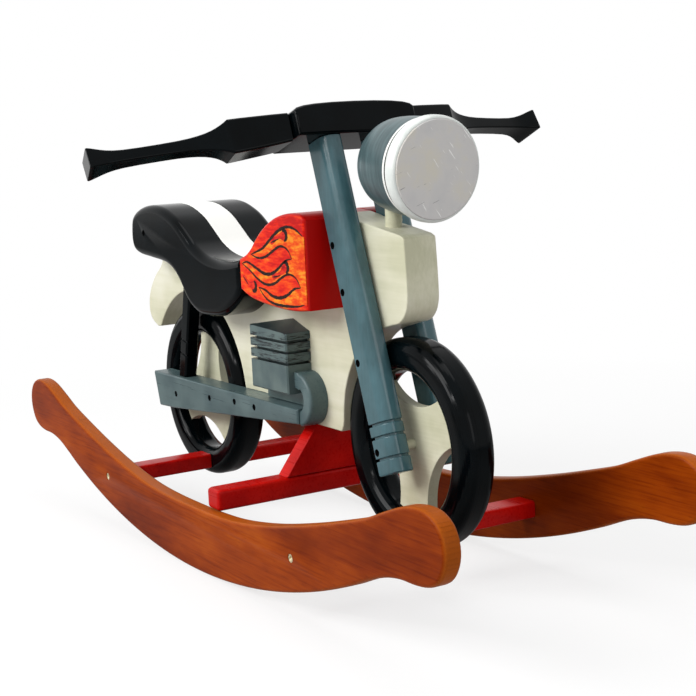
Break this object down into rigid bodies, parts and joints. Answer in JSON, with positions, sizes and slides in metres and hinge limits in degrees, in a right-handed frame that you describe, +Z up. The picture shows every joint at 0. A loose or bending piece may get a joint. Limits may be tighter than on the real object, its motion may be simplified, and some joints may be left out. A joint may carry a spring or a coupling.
{
  "type": "rocking motorcycle",
  "caption": "Child's wooden rocking motorcycle: flat-board bike body with seat, tank, fork, handlebar and round headlight, held on curved rockers by cross rails and a footrest.",
  "frame": {"origin": "centre of the bounding box in plan, at the floor under the rockers", "axes": "+X forward to the front wheel, +Y to the rider's left, +Z up"},
  "size_m": [0.914, 0.526, 0.4724],
  "materials": {
    "stained_wood": "satin",
    "red_paint": "satin",
    "black_paint": "gloss",
    "slate_paint": "satin",
    "cream_paint": "satin",
    "white_paint": "satin",
    "pale_lilac_paint": "satin",
    "bright_screws": "satin",
    "dark_screws": "satin"
  },
  "bodies": {
    "root": {"body_core": "cream_paint", "engine_block_left": "slate_paint", "engine_block_right": "slate_paint", "exhaust_bend_left": "slate_paint", "exhaust_bend_right": "slate_paint", "exhaust_pipe_left": "slate_paint", "exhaust_pipe_right": "slate_paint", "exhaust_screw_1_left": "dark_screws", "exhaust_screw_1_right": "dark_screws", "exhaust_screw_2_left": "dark_screws", "exhaust_screw_2_right": "dark_screws", "exhaust_screw_3_left": "dark_screws", "exhaust_screw_3_right": "dark_screws", "exhaust_screw_4_left": "dark_screws", "exhaust_screw_4_right": "dark_screws", "footrest_bar": "red_paint", "fork_leg_left": "slate_paint", "fork_leg_right": "slate_paint", "fork_screw_1_left": "dark_screws", "fork_screw_1_right": "dark_screws", "fork_screw_2_left": "dark_screws", "fork_screw_2_right": "dark_screws", "fork_screw_3_left": "dark_screws", "fork_screw_3_right": "dark_screws", "fork_screw_4_left": "dark_screws", "fork_screw_4_right": "dark_screws", "front_axle": "cream_paint", "front_spider": "cream_paint", "front_tyre": "black_paint", "handle_left": "black_paint", "handle_right": "black_paint", "handlebar_yoke": "black_paint", "headlight_bucket": "slate_paint", "headlight_lens": "pale_lilac_paint", "headlight_post": "cream_paint", "headlight_rim": "white_paint", "pedestal_gusset": "red_paint", "rail_front_left": "red_paint", "rail_front_right": "red_paint", "rail_rear_left": "red_paint", "rail_rear_right": "red_paint", "rear_axle": "cream_paint", "rear_spider": "cream_paint", "rear_tyre": "black_paint", "rocker_left": "stained_wood", "rocker_right": "stained_wood", "rocker_screw_front_left": "bright_screws", "rocker_screw_front_right": "bright_screws", "rocker_screw_rear_left": "bright_screws", "rocker_screw_rear_right": "bright_screws", "seat_cheek_left": "black_paint", "seat_cheek_right": "black_paint", "seat_screw_left": "dark_screws", "seat_screw_right": "dark_screws", "shock_strut_left": "black_paint", "shock_strut_right": "black_paint", "tank_cheek_left": "red_paint", "tank_cheek_right": "red_paint"}
  },
  "joints": []
}
